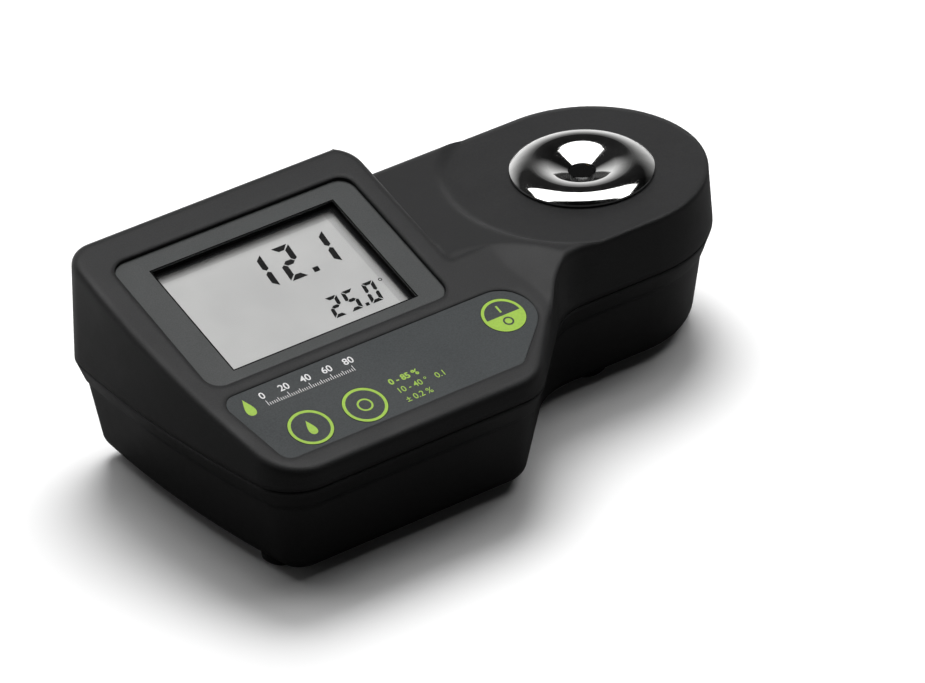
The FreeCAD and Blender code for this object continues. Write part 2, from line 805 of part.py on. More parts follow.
spacer_low = "(-wall_thick - spacer_thick)"
domes = []
for x, along in KEYS.values():
    dome = doc.addObject("Part::Cone", "dome")
    bind(dome, Radius1="dome_radius", Radius2="dome_radius / 2", Height="dome_height")
    dome.Placement = Placement(Vector(), Rotation(Vector(1, 0, 0), value("panel_angle")))
    bind(dome, Placement__Rotation__Angle="panel_angle")
    stand(dome, x, f"{FRONT} + ({along}) * cos(panel_angle) - {spacer_low} * sin(panel_angle)",
          f"{PANEL_Z} + ({along}) * sin(panel_angle) + {spacer_low} * cos(panel_angle)")
    domes.append(dome)
gathered("snap_domes", domes)

keyboard_plan = [
    (f"{HOUSING} - read_from_housing - 8", "key_row - 6.4"),
    (f"{HOUSING} - 14", "key_row - 6.4"), (f"{HOUSING} - 14", "onoff_row - 5.4"),
    (f"{HOUSING} + 6.6", "onoff_row - 5.4"), (f"{HOUSING} + 6.6", "onoff_row + 7"),
    (f"{HOUSING} - read_from_housing - 8", "onoff_row + 7")]
boss_spots = [(x, f"(({y}) - {FRONT} - 0.8) / cos(panel_angle)") for x, y, top in SCREWS[:2]]


def keypad_layer(name, low, thick, openings):
    """Flat layer behind the keys, with room for the two front bosses."""
    body = new_body(name, slope=True)
    sketch = sketch_on(body, "XY_Plane", low)
    polygon(sketch, keyboard_plan)
    pad(body, sketch, thick)
    sketch = sketch_on(body, "XY_Plane", "0")
    for x, along in boss_spots:
        circle(sketch, x, along, "boss_radius + 0.9")
    pocket(body, sketch, "20")
    if openings:
        sketch = sketch_on(body, "XY_Plane", "0")
        for x, along in KEYS.values():
            circle(sketch, x, along, openings)
        pocket(body, sketch, "20")


keypad_layer("keypad_spacer", spacer_low, "spacer_thick", "stem_radius + stem_gap")
keypad_layer("keypad_board", f"{spacer_low} - keyboard_thick", "keyboard_thick", "")

tail = new_body("keypad_tail", slope=True)
sketch = sketch_on(tail, "YZ_Plane", f"{HOUSING} - 42")
tail_top = f"({spacer_low} - keyboard_thick)"
tail_low = "(-board_drop)"
polygon(sketch, [
    ("onoff_row + 3", tail_top), ("onoff_row + 8", tail_top),
    ("onoff_row + 8.9", f"{tail_low} + 0.3"), ("bezel_low - 2.2", f"{tail_low} + 0.3"),
    ("bezel_low - 2.2", tail_low), ("onoff_row + 8.6", tail_low),
    ("onoff_row + 7.7", f"{tail_top} - 0.3"), ("onoff_row + 3", f"{tail_top} - 0.3")])
pad(tail, sketch, "12")

# ---------------------------------------------------------------- sample ring and seals
def bulge(start, end, sagitta):
    """Arc from start to end that stands off its chord by sagitta."""
    chord = end - start
    side = Vector(-chord.z, 0, chord.x).normalize()
    return Part.Arc(start, (start + end) * 0.5 + side * sagitta, end).toShape()


def make_sample_ring():
    """Polished ring: a thin lip, a swelling flank, a conical bowl down to the prism,
    and a threaded spigot below."""
    profile = [("ring_hole", HOLE_LOW), ("ring_hole", WEB_LOW), ("spigot_bore", WEB_LOW),
               ("spigot_bore", f"{PLATFORM} - spigot_length"),
               ("spigot_radius", f"{PLATFORM} - spigot_length"), ("spigot_radius", RING_SEAT),
               ("ring_radius", RING_SEAT), ("ring_radius", RING_RIM)]
    points = [Vector(value(x), 0, value(z)) for x, z in profile]
    crest = Vector(value("ring_crest"), 0, value(f"{RING_RIM} + ring_rise"))
    edges = [Part.LineSegment(here, there).toShape() for here, there in zip(points, points[1:])]
    edges.append(bulge(points[-1], crest, -value("flank_swell")))
    cone = Vector(value("cone_top"), 0, crest.z - value("cone_fall"))
    edges.append(bulge(crest, cone, -value("crest_round")))
    edges.append(Part.LineSegment(cone, points[0]).toShape())
    solid = Part.Face(Part.Wire(edges)).revolve(Vector(), Vector(0, 0, 1), 360)
    solid.translate(Vector(value(RING_X), value(HEAD_Y), 0))
    return solid


shaped("sample_ring", make_sample_ring())

turned("ring_gasket", [("spigot_radius + fit_gap", PLATFORM),
                       ("ring_radius - gasket_inset", PLATFORM),
                       ("ring_radius - gasket_inset", RING_SEAT),
                       ("spigot_radius + fit_gap", RING_SEAT)], RING_X, HEAD_Y)
nut_top = f"({PLATFORM} - wall_thick)"
turned("ring_nut", [("spigot_radius + 0.02", f"{nut_top} - nut_thick"),
                    ("nut_radius", f"{nut_top} - nut_thick"), ("nut_radius", nut_top),
                    ("spigot_radius + 0.02", nut_top)], RING_X, HEAD_Y)

prism_top = f"({WEB_LOW} - seal_thick)"
turned("prism_seal", [("ring_hole + 0.1", prism_top), ("ring_hole + 3", prism_top),
                      ("ring_hole + 3", WEB_LOW), ("ring_hole + 0.1", WEB_LOW)],
       RING_X, HEAD_Y)
prism = new_body("prism", RING_X, HEAD_Y)
sketch = sketch_on(prism, "XZ_Plane", "-prism_depth")
polygon(sketch, [("-prism_half", prism_top), ("-prism_half + prism_high * 0.6",
                                              f"{prism_top} - prism_high"),
                 ("prism_half - prism_high * 0.6", f"{prism_top} - prism_high"),
                 ("prism_half", prism_top)])
pad(prism, sketch, "2 * prism_depth")
sketch = sketch_on(prism, "XY_Plane", prism_top)
circle(sketch, "0", "0", "ring_hole - table_gap")
pad(prism, sketch, f"{HOLE_LOW} - 0.05 - {prism_top}")

# ---------------------------------------------------------------- optics under the ring
block_top = f"({PLATFORM} - spigot_length)"
carrier = new_body("optics_block", RING_X, HEAD_Y)
sketch = sketch_on(carrier, "XZ_Plane", "-block_depth")
block_low = f"({block_top} - block_high)"
polygon(sketch, [("-block_half + block_bevel", block_low), ("block_half - block_bevel", block_low),
                 ("block_half", f"{block_low} + block_bevel"), ("block_half", block_top),
                 ("-block_half", block_top), ("-block_half", f"{block_low} + block_bevel")])
pad(carrier, sketch, "2 * block_depth")
sketch = sketch_on(carrier, "XY_Plane", f"{block_top} + 0.5")
rectangle(sketch, "-prism_half + 2", "prism_half - 2", "-prism_depth - 0.5", "prism_depth + 0.5")
pocket(carrier, sketch, "6")
OPTIC_SCREWS = [(f"{x} * 0.5 * (spigot_radius + spigot_bore) / 2",
                 f"{y} * 0.866 * (spigot_radius + spigot_bore) / 2")
                for x in ("-1", "1") for y in ("-1", "1")]
sketch = sketch_on(carrier, "XY_Plane", f"{block_top} + 1")
for x, y in OPTIC_SCREWS:
    circle(sketch, x, y, "screw_radius + 0.1")
pocket(carrier, sketch, "block_high + 5")


def slanted_bore(side, radius, start, length):
    """Round passage through the block that points up at the middle of the prism."""
    rod = Part.makeCylinder(value(radius), length, Vector(0, 0, start))
    rod.rotate(Vector(), Vector(0, 1, 0), 180 - side * value("light_angle"))
    rod.translate(Vector(value(RING_X), value(HEAD_Y), value(prism_top)))
    return rod


solid = carrier.Shape
carrier_bored = doc.addObject("Part::Feature", "carrier_bored")
for side in (-1, 1):
    solid = solid.cut(slanted_bore(side, "light_bore", 2, 40 if side > 0 else 11))
solid = solid.cut(slanted_bore(-1, "led_radius + 0.05", 2, 40))
carrier_bored.Shape = solid
nodes.remove(carrier)
carrier.Label = "carrier_blank"
node(carrier_bored, "optics_block")

face_reach = value(f"(block_half - {block_low} - block_bevel + {prism_top})") * math.sqrt(0.5)
shaped("led", slanted_bore(-1, "led_radius", face_reach - value("led_length"),
                           value("led_length")))
shaped("lens", slanted_bore(1, "lens_radius + 0.15", 12, value("lens_thick")))


def slanted_plate(side, half_x, half_y, start, thick):
    plate = Part.makeBox(2 * half_x, 2 * half_y, thick, Vector(-half_x, -half_y, start))
    plate.rotate(Vector(), Vector(0, 1, 0), 180 - side * value("light_angle"))
    plate.translate(Vector(value(RING_X), value(HEAD_Y), value(prism_top)))
    return plate


# the block's lower corners are cut square to the light that comes and goes
shaped("image_sensor", slanted_plate(1, value("sensor_wide / 2"), value("sensor_long / 2"),
                                     face_reach, value("sensor_thick")))
shaped("sensor_board", slanted_plate(1, value("sensor_wide / 2 + 1.5"), value("block_depth") - 3,
                                     face_reach + value("sensor_thick"), value("board_thick")))
shaped("led_board", slanted_plate(-1, 4.5, 6, face_reach, 1.2))

probe_low = f"({WEB_LOW} - 5)"
probe = cylinder("thermistor", "1.1", f"{WEB_LOW} - {probe_low}", RING_X,
                 f"{HEAD_Y} + prism_depth + 3.2", probe_low)
node(probe, "thermistor")

bolts = []
for x, y in OPTIC_SCREWS:
    head_low = f"({block_top} - block_high - head_thick)"
    shank = cylinder("shank", "screw_radius", "block_high", f"{RING_X} + {x}",
                     f"{HEAD_Y} + {y}", f"{block_top} - block_high")
    cap = cylinder("cap", "screw_head - 0.2", "head_thick", f"{RING_X} + {x}",
                   f"{HEAD_Y} + {y}", head_low)
    fused = doc.addObject("Part::MultiFuse", "optics_screw")
    fused.Shapes = [shank, cap]
    bolts.append(fused)
gathered("optics_screws", bolts)

# ---------------------------------------------------------------- battery and its cover
BATTERY_LOW = "(floor_height + cover_thick + cover_rise * 2 + cover_spigot + 0.3)"
battery_left = f"({BATTERY_X} - battery_long / 2 - battery_shift)"
battery_right = f"({BATTERY_X} + battery_long / 2 - battery_shift)"
node(block("battery", battery_left, battery_right, "-battery_wide / 2", "battery_wide / 2",
           BATTERY_LOW, f"{BATTERY_LOW} + battery_thick"), "battery")
studs = []
for place in ("-6.35", "6.35"):
    stud = doc.addObject("Part::Cylinder", "stud")
    bind(stud, Radius="2.9", Height="terminal_reach")
    stud.Placement = Placement(Vector(), Rotation(Vector(0, 1, 0), 90))
    stand(stud, battery_right, place, f"{BATTERY_LOW} + battery_thick / 2")
    studs.append(stud)
gathered("battery_terminals", studs)
snap_x = f"({battery_right} + terminal_reach)"
node(block("battery_snap", snap_x, f"{snap_x} + snap_thick", "-12", "12",
           f"{BATTERY_LOW} + 3", f"{BATTERY_LOW} + battery_thick - 3"), "battery_snap")
node(block("battery_pad", f"{BATTERY_X} - 20", f"{BATTERY_X} + 14", "-9", "9",
           f"{BATTERY_LOW} + battery_thick", f"{BATTERY_LOW} + battery_thick + pad_thick"),
     "battery_pad")

socket_s = "((-battery_wide / 4 - (" + FRONT + ") - 4) / cos(panel_angle))"
socket_low = f"({board_low} - 3.2)"
lead_x = f"({snap_x} + snap_thick / 2)"
node(slope_block("power_socket", f"{lead_x} - 5", f"{lead_x} + 5", f"{socket_s} - 4",
                 f"{socket_s} + 4", socket_low, board_low), "power_socket")
leads = []
snap_top = value(f"{BATTERY_LOW} + battery_thick - 3")
for shift in (-2, 2):
    spot = slope_point(value(lead_x) + shift, value(socket_s), value(socket_low))
    wire = Part.makeCylinder(0.7, spot.z - snap_top, Vector(spot.x, spot.y, snap_top))
    under = slope_solid(Part.makeBox(20, 20, 6, Vector(value(lead_x) - 10,
                                                       value(socket_s) - 10, value(socket_low))))
    leads.append(wire.cut(under))
shaped("battery_leads", Part.makeCompound(leads))


def make_battery_cover():
    centre = Vector(value(BATTERY_X), 0, 0)
    low = value("floor_height + cover_rise")
    top = low + value("cover_thick")
    flange = Part.makeCylinder(value("cover_radius"), top - low, centre + Vector(0, 0, low))
    flange = flange.makeChamfer(0.5, [min(flange.Edges, key=lambda edge: edge.CenterOfMass.z)])
    outer = value("well_radius - slide_gap")
    wall = Part.makeCylinder(outer, value("cover_spigot"), centre + Vector(0, 0, top))
    bore = Part.makeCylinder(outer - 2.2, value("cover_spigot") + 1, centre + Vector(0, 0, top))
    cover = flange.fuse(wall.cut(bore))
    lug_low = value("floor_height + cover_thick + cover_rise * 2 + lug_rise")
    for turn in range(3):
        lug = Part.makeCylinder(outer + value("lug_reach"), value("lug_thick"),
                                centre + Vector(0, 0, lug_low), Vector(0, 0, 1),
                                value("lug_angle"))
        lug = lug.cut(Part.makeCylinder(outer - 1, 20, centre))
        lug.rotate(centre, Vector(0, 0, 1), 120 * turn - value("lug_angle") / 2)
        cover = cover.fuse(lug)
    slot = Part.makeBox(30, 3, 1, centre + Vector(-15, -1.5, low))
    return cover.cut(slot).removeSplitter()


shaped("battery_cover", make_battery_cover())

# ---------------------------------------------------------------- case screws and feet
case_bolts = []
for x, y, top in SCREWS:
    seat = "(floor_height + bore_depth)"
    shank = cylinder("shank", "screw_radius - 0.3", f"{UPPER_RIM} + 7 - {seat}", x, y, seat)
    cap = cylinder("cap", "screw_head", "head_thick", x, y, f"{seat} - head_thick")
    fused = doc.addObject("Part::MultiFuse", "case_screw")
    fused.Shapes = [shank, cap]
    case_bolts.append(fused)
gathered("case_screws", case_bolts)

for name, x, y in FEET:
    turned(name, [("0", "0"), ("foot_radius - 0.8", "0"), ("foot_radius", "0.8"),
                  ("foot_radius", "floor_height + foot_seat"),
                  ("0", "floor_height + foot_seat")], x, y)

# ---------------------------------------------------------------- checks and files
doc.recompute()
for thing in doc.Objects:
    bad = {"Invalid", "Error"} & set(thing.State)
    if bad:
        raise RuntimeError(f"{thing.Label} did not build: {thing.State}")
for thing in nodes:
    if thing.Shape.isNull() or not thing.Shape.isValid() or not thing.Shape.Solids:
        raise RuntimeError(f"{thing.Label} has no sound solid")
if len({thing.Label for thing in nodes}) != len(nodes):
    raise RuntimeError("two pieces share a name")

os.makedirs("parts", exist_ok=True)
for thing in nodes:
    thing.Shape.exportStep(f"parts/{thing.Label}.step")
whole = Part.makeCompound([thing.Shape for thing in nodes]).BoundBox
print(f"{len(nodes)} pieces, {whole.XLength:.2f} x {whole.YLength:.2f} x {whole.ZLength:.2f} mm")
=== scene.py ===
import bpy
import bmesh
import json
import math
from mathutils import Matrix, Vector


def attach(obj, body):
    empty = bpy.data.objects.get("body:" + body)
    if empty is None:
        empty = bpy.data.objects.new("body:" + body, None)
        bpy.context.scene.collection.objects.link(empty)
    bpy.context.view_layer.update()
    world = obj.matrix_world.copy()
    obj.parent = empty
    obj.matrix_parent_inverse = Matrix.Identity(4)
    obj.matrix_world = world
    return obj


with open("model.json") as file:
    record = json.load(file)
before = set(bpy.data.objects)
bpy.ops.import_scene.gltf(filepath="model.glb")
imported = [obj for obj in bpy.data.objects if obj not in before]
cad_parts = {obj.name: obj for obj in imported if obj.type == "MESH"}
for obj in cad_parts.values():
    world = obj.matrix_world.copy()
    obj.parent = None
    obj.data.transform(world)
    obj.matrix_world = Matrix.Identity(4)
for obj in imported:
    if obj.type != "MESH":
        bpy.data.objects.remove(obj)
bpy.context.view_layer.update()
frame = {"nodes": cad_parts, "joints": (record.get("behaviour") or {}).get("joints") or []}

# ---------------------------------------------------------------- table
# The instrument stands on a matt white table.  The camera sees it white all over.  Every
# other ray finds painted shade on it: dark near the instrument, where its shadow falls, and white
# further off, so black plastic stays dark.
scene = bpy.context.scene
scene.view_settings.view_transform = "Standard"


def new_material(name):
    """An empty node material: its tree, its surface shader and its output."""
    material = bpy.data.materials.new(name)
    material.use_nodes = True
    tree = material.node_tree
    tree.nodes.clear()
    shader = tree.nodes.new("ShaderNodeBsdfPrincipled")
    output = tree.nodes.new("ShaderNodeOutputMaterial")
    tree.links.new(shader.outputs["BSDF"], output.inputs["Surface"])
    return material, tree, shader, output


def ranged(tree, value, start, end, low, high):
    """The value's range from start to end, turned into the range from low to high."""
    made = tree.nodes.new("ShaderNodeMapRange")
    made.inputs["From Min"].default_value = start
    made.inputs["From Max"].default_value = end
    made.inputs["To Min"].default_value = low
    made.inputs["To Max"].default_value = high
    tree.links.new(value, made.inputs["Value"])
    return made


TABLE_SIZE = 12
TABLE_WHITE = 0.86
PAINTED_SHADE_GREY = 0.13
FAR_GREY = 0.95
GREY_FROM = 0.06
GREY_TO = 0.5


def table_material():
    """Matt white to the camera; to other rays, grey painted shade near the instrument, turning
    white away from it.
    """
    material, tree, shader, output = new_material("white_table")
    place = tree.nodes.new("ShaderNodeTexCoord")
    axes = tree.nodes.new("ShaderNodeSeparateXYZ")
    tree.links.new(place.outputs["Object"], axes.inputs["Vector"])
    # Painted shade for rays other than the camera's: grey near the instrument, white further
    # behind it.
    painted_shade = ranged(tree, axes.outputs["Y"], GREY_FROM, GREY_TO, PAINTED_SHADE_GREY, FAR_GREY)
    path = tree.nodes.new("ShaderNodeLightPath")
    dim = ranged(tree, path.outputs["Is Camera Ray"], 0.0, 1.0, 0.0, TABLE_WHITE)
    tree.links.new(painted_shade.outputs["Result"], dim.inputs["To Min"])
    tree.links.new(dim.outputs["Result"], shader.inputs["Base Color"])
    shader.inputs["Roughness"].default_value = 0.9
    shader.inputs["Specular IOR Level"].default_value = 0.05
    return material


bpy.ops.mesh.primitive_plane_add(size=TABLE_SIZE, location=(0, 0, 0))
table = bpy.context.object
table.name = "table"
table.data.materials.append(table_material())

# ---------------------------------------------------------------- room
# The room is white where the camera sees it.  Its light on the instrument is weak, and
# comes from low down on the far side.
HORIZON_GLOW = 1.15
HIGH_GLOW = 0.02
NEAR_GLOW = 0.09

world = bpy.data.worlds.new("studio")
scene.world = world
world.use_nodes = True
sky = world.node_tree
background = sky.nodes["Background"]
background.inputs["Color"].default_value = (1, 1, 1, 1)
compass = sky.nodes.new("ShaderNodeTexCoord")
heights = sky.nodes.new("ShaderNodeSeparateXYZ")
sky.links.new(compass.outputs["Generated"], heights.inputs["Vector"])
fade = ranged(sky, heights.outputs["Z"], 0.0, 0.55, HORIZON_GLOW, HIGH_GLOW)
rear = ranged(sky, heights.outputs["Y"], 0.1, 0.75, NEAR_GLOW, 1.0)
glow = sky.nodes.new("ShaderNodeMath")
glow.operation = "MULTIPLY"
sky.links.new(fade.outputs["Result"], glow.inputs[0])
sky.links.new(rear.outputs["Result"], glow.inputs[1])
direct = sky.nodes.new("ShaderNodeLightPath")
level = sky.nodes.new("ShaderNodeMath")
level.operation = "MAXIMUM"
sky.links.new(direct.outputs["Is Camera Ray"], level.inputs[0])
sky.links.new(glow.outputs["Value"], level.inputs[1])
sky.links.new(level.outputs["Value"], background.inputs["Strength"])

# ---------------------------------------------------------------- lamps
# A broad softbox hangs overhead, square to the camera.  A round lamp behind the
# instrument throws its shadow forwards.  That lamp doesn't show in the polished ring.
AZIMUTH = math.radians(-33.143)
lamp = bpy.data.lights.new("overhead_softbox", "AREA")
lamp.shape = "RECTANGLE"
lamp.size = 2.1
lamp.size_y = 0.8
lamp.energy = 15
softbox = bpy.data.objects.new("overhead_softbox", lamp)
softbox.location = (0.20, 0.24, 1.25)
softbox.rotation_euler = (0, 0, AZIMUTH)
scene.collection.objects.link(softbox)

rear_lamp = bpy.data.lights.new("rear_lamp", "AREA")
rear_lamp.shape = "DISK"
rear_lamp.size = 0.8
rear_lamp.energy = 18
lamp_behind = bpy.data.objects.new("rear_lamp", rear_lamp)
lamp_behind.location = (0.36, 0.56, 1.18)
lamp_behind.rotation_euler = Vector(lamp_behind.location).to_track_quat("Z", "Y").to_euler()
lamp_behind.visible_glossy = False
scene.collection.objects.link(lamp_behind)

# ---------------------------------------------------------------- camera
# A long lens looks down on the instrument from the front left, from far away, and is
# turned a little about its own axis.
MM = 0.001
ELEVATION = math.radians(32.949)
ROLL = math.radians(-2.75)
AIM = Vector((1.3, -5.8, 26.9)) * MM
DISTANCE = 1.6293
LENS = 225.37
back = Vector((math.sin(AZIMUTH) * math.cos(ELEVATION),
               -math.cos(AZIMUTH) * math.cos(ELEVATION), math.sin(ELEVATION)))
level_right = Vector((math.cos(AZIMUTH), math.sin(AZIMUTH), 0))
level_up = back.cross(level_right)
right = level_right * math.cos(ROLL) + level_up * math.sin(ROLL)
up = level_up * math.cos(ROLL) - level_right * math.sin(ROLL)
camera_data = bpy.data.cameras.new("camera")
camera_data.lens = LENS
camera_data.sensor_width = 36
camera_data.clip_end = 50
camera = bpy.data.objects.new("camera", camera_data)
turn = Matrix((right, up, back)).transposed().to_4x4()
camera.matrix_world = Matrix.Translation(AIM + back * DISTANCE) @ turn
scene.collection.objects.link(camera)
scene.camera = camera

# ---------------------------------------------------------------- case shells
# Two moulded shells of black plastic with a fine spark-eroded texture, screwed
# together from below.  The battery cover is moulded of the same plastic.


def add(tree, kind, **settings):
    """New node, with settings by input name; other names set the node's own fields."""
    made = tree.nodes.new("ShaderNode" + kind)
    for name, setting in settings.items():
        title = name.replace("_", " ")
        if title in made.inputs:
            made.inputs[title].default_value = setting
        else:
            setattr(made, name, setting)
    return made


def here(tree):
    """Place on the piece, in metres."""
    return tree.nodes.new("ShaderNodeTexCoord").outputs["Object"]


def speckle(tree, size, detail=2.0, roughness=0.55):
    """Fine noise whose grains are about size metres across."""
    grain = add(tree, "TexNoise", Scale=1 / size, Detail=detail, Roughness=roughness)
    tree.links.new(here(tree), grain.inputs["Vector"])
    return grain.outputs["Fac"]


def graded(tree, value, dark, light, low=0.35, high=0.65):
    """Colours from dark to light as value goes from low to high."""
    ramp = tree.nodes.new("ShaderNodeValToRGB")
    ramp.color_ramp.elements[0].position = low
    ramp.color_ramp.elements[0].color = (*dark, 1)
    ramp.color_ramp.elements[1].position = high
    ramp.color_ramp.elements[1].color = (*light, 1)
    tree.links.new(value, ramp.inputs["Fac"])
    return ramp.outputs["Color"]


def spread(tree, value, low, high):
    """A noise value spread evenly over the range from low to high."""
    return ranged(tree, value, 0.3, 0.7, low, high).outputs["Result"]


def roughen(tree, shader, value, strength, depth, rounding=0.0):
    """Bump from a value; with rounding, the edges also shade as if moulded round."""
    bump = add(tree, "Bump", Strength=strength, Distance=depth)
    tree.links.new(value, bump.inputs["Height"])
    tree.links.new(bump.outputs["Normal"], shader.inputs["Normal"])
    if rounding:
        edge = tree.nodes.new("ShaderNodeBevel")
        edge.samples = 6
        edge.inputs["Radius"].default_value = rounding
        tree.links.new(edge.outputs["Normal"], bump.inputs["Normal"])


def moulded_plastic(name, dark, light, grain, gloss, strength=0.5, depth=0.00004, rounding=0.0):
    """Textured moulding: mottled colour, uneven gloss and a fine pebbled surface."""
    material, tree, shader, output = new_material(name)
    fine = speckle(tree, grain)
    broad = speckle(tree, grain * 40, 3.0)
    colour = graded(tree, fine, dark, light)
    tree.links.new(colour, shader.inputs["Base Color"])
    tree.links.new(spread(tree, broad, gloss[0], gloss[1]), shader.inputs["Roughness"])
    roughen(tree, shader, fine, strength, depth, rounding)
    shader.inputs["Specular IOR Level"].default_value = 0.36
    return material


def dress(names, material):
    """Give CAD pieces their material."""
    for name in names:
        slots = frame["nodes"][name].data.materials
        slots.clear()
        slots.append(material)


case_plastic = moulded_plastic("case_plastic", (0.0085, 0.0085, 0.0088), (0.0155, 0.0155, 0.0159),
                               0.00035, (0.40, 0.50), rounding=0.0026)
dress(("upper_case", "lower_case", "battery_cover"), case_plastic)

# ---------------------------------------------------------------- feet, seals and pads
# Dull black rubber with a trace of dust, cut or moulded, and pressed into its seats:
# the feet, the case's seal, the gasket under the ring and the pads inside.


def rubber(name, tone):
    """Black rubber from tone to a lighter bloom."""
    material, tree, shader, output = new_material(name)
    bloom = speckle(tree, 0.0012, 4.0)
    tree.links.new(graded(tree, bloom, (tone, tone, tone), (tone * 1.8, tone * 1.8, tone * 1.7)),
                   shader.inputs["Base Color"])
    shader.inputs["Specular IOR Level"].default_value = 0.25
    shader.inputs["Roughness"].default_value = 0.75
    roughen(tree, shader, speckle(tree, 0.0004), 0.4, 0.00005)
    return material


black_rubber = rubber("black_rubber", 0.008)
dress(("case_seal", "ring_gasket", "prism_seal", "zebra_strips", "battery_pad",
       "foot_front_left", "foot_back_left", "foot_front_right", "foot_back_right"), black_rubber)

# ---------------------------------------------------------------- sloping panel
# The display and the keys lie on one sloping plane.  Its directions are read from the
# keys' travel: x along the case, s up the slope, n out of the panel.
travel = next(joint for joint in frame["joints"] if joint["name"] == "read_press")["axis"]
outward = -Vector(travel)
up_slope = Vector((0, outward.z, -outward.y))


def panel_point(x, along, out):
    """Point in the frame from its place on the panel."""
    return Vector((x, 0, 0)) + up_slope * along + outward * out


def panel_extent(name):
    """Lowest and highest (x, s, n) of a CAD piece."""
    places = [(v.co.x, v.co.dot(up_slope), v.co.dot(outward))
              for v in frame["nodes"][name].data.vertices]
    return [min(axis) for axis in zip(*places)], [max(axis) for axis in zip(*places)]


def link_mesh(name, vertices, faces, material, body):
    """New piece from points and faces, with its material, on a body."""
    mesh = bpy.data.meshes.new(name)
    mesh.from_pydata([tuple(v) for v in vertices], [], faces)
    work = bmesh.new()
    work.from_mesh(mesh)
    bmesh.ops.recalc_face_normals(work, faces=work.faces)
    work.to_mesh(mesh)
    work.free()
    mesh.materials.append(material)
    piece = bpy.data.objects.new(name, mesh)
    scene.collection.objects.link(piece)
    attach(piece, body)


INK_THICK = 0.02 * MM


def printed(name, outlines, level, material, body):
    """Flat shapes of ink that stand on the panel: closed outlines of (x, s) points."""
    vertices = []
    faces = []
    for outline in outlines:
        start = len(vertices)
        count = len(outline)
        vertices += [panel_point(x, along, level) for x, along in outline]
        vertices += [panel_point(x, along, level + INK_THICK) for x, along in outline]
        faces.append(tuple(range(start, start + count))[::-1])
        faces.append(tuple(range(start + count, start + 2 * count)))
        for index in range(count):
            following = (index + 1) % count
            faces.append((start + index, start + following,
                          start + count + following, start + count + index))
    link_mesh(name, vertices, faces, material, body)


# ---------------------------------------------------------------- display bezel
# The bezel is a moulded frame of grey plastic dropped into the panel.  The walls of its
# window carry painted shade: they go black below its face, colour and gloss alike.
WALL_GLOSS = 0.42
WALL_SHADE = 0.06
WALL_START = 0.35 * MM
WALL_FADE = 0.3 * MM
bezel_plastic = moulded_plastic("bezel_plastic", (0.028, 0.030, 0.030), (0.042, 0.0445, 0.0445),
                                0.0003, (0.40, 0.50), rounding=0.0004)


def paint_shade_below(material, level, soft):
    """Painted shade: fade a panel piece's colour and gloss to black below a level under the panel.
    """
    tree = material.node_tree
    shader = next(node for node in tree.nodes if node.type == "BSDF_PRINCIPLED")
    depth = add(tree, "VectorMath", operation="DOT_PRODUCT")
    depth.inputs[1].default_value = outward
    tree.links.new(here(tree), depth.inputs[0])
    fade = ranged(tree, depth.outputs["Value"], level - soft, level, WALL_SHADE, 1.0)
    tint = add(tree, "VectorMath", operation="SCALE")
    tree.links.new(shader.inputs["Base Color"].links[0].from_socket, tint.inputs[0])
    tree.links.new(fade.outputs["Result"], tint.inputs["Scale"])
    tree.links.new(tint.outputs["Vector"], shader.inputs["Base Color"])
    gloss = tree.nodes.new("ShaderNodeMath")
    gloss.operation = "MULTIPLY"
    gloss.inputs[1].default_value = WALL_GLOSS
    tree.links.new(fade.outputs["Result"], gloss.inputs[0])
    tree.links.new(gloss.outputs["Value"], shader.inputs["Specular IOR Level"])


bezel_top = panel_extent("display_bezel")[1][2]
# Painted shade on the window's walls, below the bezel's face.
paint_shade_below(bezel_plastic, bezel_top - WALL_START, WALL_FADE)
dress(("display_bezel",), bezel_plastic)

# ---------------------------------------------------------------- clear pane
# A thin flat pane of clear plastic, nearly invisible, cut to size.
# It is set into the back of the bezel, over the display.


def clear_pane(name):
    """Clear plastic pane: nearly invisible, with a soft reflection and faint hazing."""
    material, tree, shader, output = new_material(name)
    haze = speckle(tree, 0.006, 3.0)
    tree.links.new(graded(tree, haze, (0.2, 0.21, 0.21), (0.3, 0.3, 0.3)),
                   shader.inputs["Base Color"])
    tree.links.new(spread(tree, haze, 0.05, 0.12), shader.inputs["Roughness"])
    shader.inputs["Specular IOR Level"].default_value = 0.06
    shader.inputs["Alpha"].default_value = 0.02
    return material


dress(("display_window",), clear_pane("window_pane"))

# ---------------------------------------------------------------- black border and shade line
# A black frame is printed on the back of the pane, and hides the edge of the display.
# A thin black line of painted shade runs round the window on the face of the bezel.


def panel_frame(name, outer, inner, low_level, high_level, material):
    """Flat frame on the panel between two rectangles (x low, x high, s low, s high)."""
    vertices = []
    for left, right_end, low, high in (outer, inner):
        for level in (low_level, high_level):
            vertices += [panel_point(left, low, level), panel_point(right_end, low, level),
                         panel_point(right_end, high, level), panel_point(left, high, level)]
    faces = []
    for side in range(4):
        following = (side + 1) % 4
        faces.append((side, following, 8 + following, 8 + side))
        faces.append((4 + side, 4 + following, 12 + following, 12 + side))
        faces.append((side, following, 4 + following, 4 + side))
        faces.append((8 + side, 8 + following, 12 + following, 12 + side))
    link_mesh(name, vertices, faces, material, "root")


pane_low, pane_high = panel_extent("display_window")
BORDER_SIDE = 0.7 * MM
BORDER_END = 0.56 * MM
PANE_LAP = 1.85 * MM
SHADE_LINE_WIDTH = 0.38 * MM


def shrunk(box, across, along):
    """Rectangle (x low, x high, s low, s high) drawn in by two margins."""
    return (box[0] + across, box[1] - across, box[2] + along, box[3] - along)


